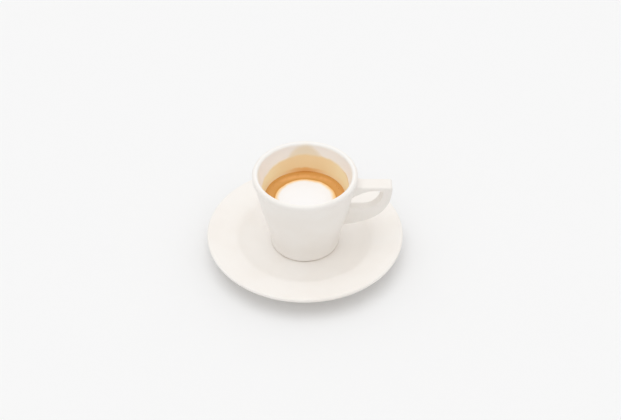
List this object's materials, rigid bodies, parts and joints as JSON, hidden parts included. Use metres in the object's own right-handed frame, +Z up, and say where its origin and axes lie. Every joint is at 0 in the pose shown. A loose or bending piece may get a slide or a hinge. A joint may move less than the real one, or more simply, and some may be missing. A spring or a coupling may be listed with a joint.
{
  "type": "espresso macchiato",
  "caption": "Small white porcelain cup with an ear handle on its round saucer, holding espresso with golden crema and a cap of milk foam.",
  "frame": {"origin": "centre of the saucer's foot ring on the table, under the middle of the part's bounding box", "axes": "+Z up along the cup's axis, +X out along the handle, +Y to the far side; metres"},
  "size_m": [0.12, 0.12, 0.0596],
  "materials": {
    "saucer_glaze": "white porcelain under a clear gloss glaze",
    "cup_glaze": "white porcelain under a clear gloss glaze, stained with crema inside above the drink",
    "crema": "wet golden brown crema, a fine foam of coffee oils; gloss_plastic stands in for a liquid",
    "milk_foam": "fine white milk foam, soft satin; matte_plastic stands in for a foam"
  },
  "bodies": {
    "root": {"saucer": "saucer_glaze", "cup": "cup_glaze", "espresso": "crema", "milk_foam": "milk_foam"}
  },
  "joints": []
}
